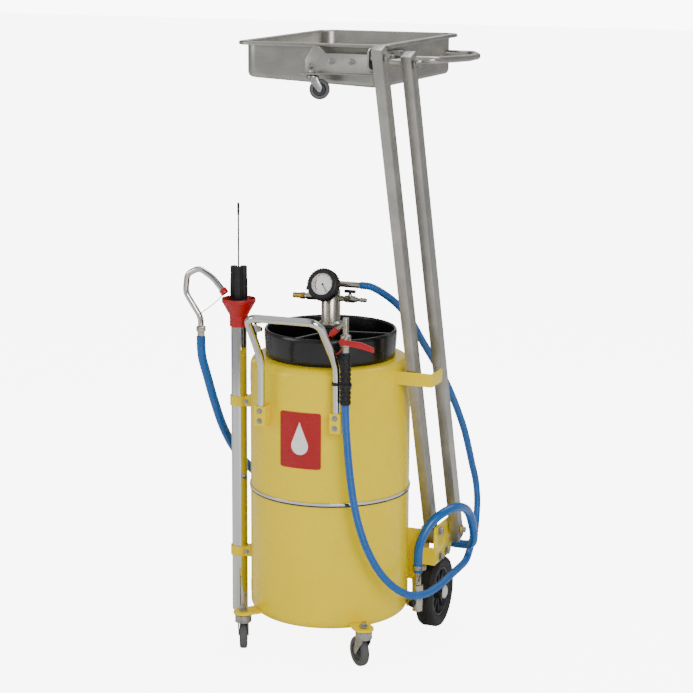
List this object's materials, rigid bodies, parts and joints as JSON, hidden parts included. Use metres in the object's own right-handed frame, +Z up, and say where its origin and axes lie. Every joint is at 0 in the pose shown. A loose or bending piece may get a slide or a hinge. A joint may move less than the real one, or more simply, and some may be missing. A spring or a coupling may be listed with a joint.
{
  "type": "waste oil drainer",
  "caption": "Wheeled waste-oil drainer: upright cylindrical tank with tool tray, vacuum gauge, probes and hoses, and a drain pan raised on folding parallel arms.",
  "frame": {"origin": "middle of the footprint of everything but the two free hoses, at floor level", "axes": "+Z up, +X towards the folding arms, -Y towards the push handle and front casters"},
  "size_m": [0.7368, 0.9774, 1.6051],
  "materials": {
    "yellow_enamel": "gloss powder coat",
    "chrome_tube": "polished chrome",
    "front_panel_enamel": "printed aluminium panel",
    "black_plastic": "moulded satin black",
    "black_rubber": "moulded rubber",
    "nickel": "nickel-plated brass",
    "brass": "turned brass",
    "red_plastic": "moulded red",
    "blue_hose": "smooth and spiral-ribbed PVC hose",
    "zinc_steel": "bright zinc",
    "grey_rubber": "grey rubber",
    "tyre_rubber": "black tyre on black rim",
    "brushed_stainless": "brushed stainless",
    "clear_tube": "clear tube in plated fittings"
  },
  "bodies": {
    "base": {"arm_rest_strap": "yellow_enamel", "barb_valve": "nickel", "caster_lug_left": "yellow_enamel", "caster_lug_right": "yellow_enamel", "discharge_hose": "blue_hose", "discharge_spout": "chrome_tube", "front_panel": "front_panel_enamel", "gauge_boot": "black_rubber", "gauge_case": "nickel", "gun_cap": "red_plastic", "gun_clip": "black_plastic", "gun_valve": "nickel", "handle_bracket_left": "yellow_enamel", "handle_bracket_right": "yellow_enamel", "holder_strap_lower": "yellow_enamel", "holder_strap_upper": "yellow_enamel", "hose_clamp": "zinc_steel", "hose_guard": "black_rubber", "level_gauge": "clear_tube", "outlet_valve": "nickel", "probe_funnel": "red_plastic", "probe_holder_tube": "chrome_tube", "push_handle": "chrome_tube", "rear_axle_left": "zinc_steel", "rear_axle_right": "zinc_steel", "rear_chassis": "yellow_enamel", "silencer": "brass", "silencer_valve": "nickel", "spout_cap": "red_plastic", "spout_fitting": "nickel", "suction_hose": "blue_hose", "tank_band": "chrome_tube", "tank_shell": "yellow_enamel", "tool_tray": "black_plastic", "vacuum_head": "nickel", "valve_barb": "nickel", "vent_valve": "nickel"},
    "front_arm": {"front_arm": "brushed_stainless"},
    "rear_arm": {"rear_arm": "brushed_stainless"},
    "pan_frame": {"pan_cradle": "brushed_stainless", "drain_pan": "brushed_stainless", "pan_handle": "brushed_stainless"},
    "pan_caster": {"pan_caster_fork": "zinc_steel"},
    "pan_caster_wheel": {"pan_caster_wheel": "grey_rubber"},
    "front_caster_left": {"front_caster_left_fork": "zinc_steel"},
    "front_caster_left_wheel": {"front_caster_left_wheel": "grey_rubber"},
    "front_caster_right": {"front_caster_right_fork": "zinc_steel"},
    "front_caster_right_wheel": {"front_caster_right_wheel": "grey_rubber"},
    "rear_wheel_left": {"rear_wheel_left": "tyre_rubber"},
    "rear_wheel_right": {"rear_wheel_right": "tyre_rubber"},
    "silencer_valve_handle": {"silencer_valve_handle": "black_plastic"},
    "barb_valve_handle": {"barb_valve_handle": "black_plastic"},
    "vent_valve_handle": {"vent_valve_handle": "black_plastic"},
    "outlet_valve_knob": {"outlet_valve_knob": "black_plastic"},
    "gun_lever": {"gun_lever": "red_plastic"},
    "gauge_needle": {"gauge_needle": "black_plastic"},
    "suction_probe_1": {"suction_probe_1": "black_plastic"},
    "suction_probe_2": {"suction_probe_2": "black_plastic"},
    "suction_probe_3": {"suction_probe_3": "black_plastic"},
    "long_probe": {"long_probe": "black_plastic"}
  },
  "joints": [
    {"name": "arms_fold", "type": "hinge", "parent": "base", "child": "front_arm", "pos_m": [0.21594, 0.12272, 0.29], "axis": [-1, 0, 0], "range_deg": [0, 116]},
    {"name": "pan_level", "type": "hinge", "parent": "front_arm", "child": "pan_frame", "pos_m": [0.21594, -0.30928, 1.576], "axis": [-1, 0, 0], "range_deg": [-116, 0]},
    {"name": "rear_arm_fold", "type": "hinge", "parent": "base", "child": "rear_arm", "pos_m": [0.25394, 0.22272, 0.27], "axis": [-1, 0, 0], "range_deg": [0, 116]},
    {"name": "front_caster_left_swivel", "type": "hinge", "parent": "base", "child": "front_caster_left", "pos_m": [-0.19456, -0.19628, 0.09], "axis": [0, 0, 1], "continuous": true},
    {"name": "front_caster_left_roll", "type": "hinge", "parent": "front_caster_left", "child": "front_caster_left_wheel", "pos_m": [-0.2028, -0.17589, 0.04], "axis": [-0.9272, -0.3746, 0], "continuous": true},
    {"name": "front_caster_right_swivel", "type": "hinge", "parent": "base", "child": "front_caster_right", "pos_m": [0.14544, -0.19628, 0.09], "axis": [0, 0, 1], "continuous": true},
    {"name": "front_caster_right_roll", "type": "hinge", "parent": "front_caster_right", "child": "front_caster_right_wheel", "pos_m": [0.12884, -0.18185, 0.04], "axis": [-0.6561, -0.7547, 0], "continuous": true},
    {"name": "rear_wheel_left_roll", "type": "hinge", "parent": "base", "child": "rear_wheel_left", "pos_m": [-0.25456, 0.18972, 0.0975], "axis": [1, 0, 0], "continuous": true},
    {"name": "rear_wheel_right_roll", "type": "hinge", "parent": "base", "child": "rear_wheel_right", "pos_m": [0.20544, 0.18972, 0.0975], "axis": [1, 0, 0], "continuous": true},
    {"name": "pan_caster_swivel", "type": "hinge", "parent": "pan_frame", "child": "pan_caster", "pos_m": [0.03344, -0.28128, 1.52], "axis": [0, 0, 1], "continuous": true},
    {"name": "pan_caster_roll", "type": "hinge", "parent": "pan_caster", "child": "pan_caster_wheel", "pos_m": [0.04942, -0.27547, 1.493], "axis": [-0.342, 0.9397, 0], "continuous": true},
    {"name": "silencer_valve_turn", "type": "hinge", "parent": "base", "child": "silencer_valve_handle", "pos_m": [-0.07786, -0.00928, 0.945], "axis": [0, 0, 1], "range_deg": [0, 90]},
    {"name": "barb_valve_turn", "type": "hinge", "parent": "base", "child": "barb_valve_handle", "pos_m": [0.02874, -0.00928, 0.945], "axis": [0, 0, 1], "range_deg": [0, 90]},
    {"name": "vent_valve_turn", "type": "hinge", "parent": "base", "child": "vent_valve_handle", "pos_m": [-0.21656, -0.06128, 0.856], "axis": [0, 0, 1], "range_deg": [0, 90]},
    {"name": "outlet_knob_turn", "type": "hinge", "parent": "base", "child": "outlet_valve_knob", "pos_m": [0.20744, 0.00972, 0.12], "axis": [0, -1, 0], "range_deg": [0, 90]},
    {"name": "gun_lever_turn", "type": "hinge", "parent": "base", "child": "gun_lever", "pos_m": [0.10544, -0.25528, 0.8693], "axis": [0, 1, 0], "range_deg": [0, 90]},
    {"name": "gauge_needle_turn", "type": "hinge", "parent": "base", "child": "gauge_needle", "pos_m": [-0.02456, -0.05928, 0.972], "axis": [0, -0.9397, 0.342], "range_deg": [-270, 0]},
    {"name": "probe_1_lift", "type": "slide", "parent": "base", "child": "suction_probe_1", "axis": [0, 0, 1], "range_m": [0, 0.75]},
    {"name": "probe_2_lift", "type": "slide", "parent": "base", "child": "suction_probe_2", "axis": [0, 0, 1], "range_m": [0, 0.75]},
    {"name": "probe_3_lift", "type": "slide", "parent": "base", "child": "suction_probe_3", "axis": [0, 0, 1], "range_m": [0, 0.75]},
    {"name": "long_probe_lift", "type": "slide", "parent": "base", "child": "long_probe", "axis": [0, 0, 1], "range_m": [0, 0.7]}
  ],
  "couplings": [
    {"joint": "pan_level", "follows": "arms_fold", "ratio": -1},
    {"joint": "rear_arm_fold", "follows": "arms_fold", "ratio": 1}
  ]
}
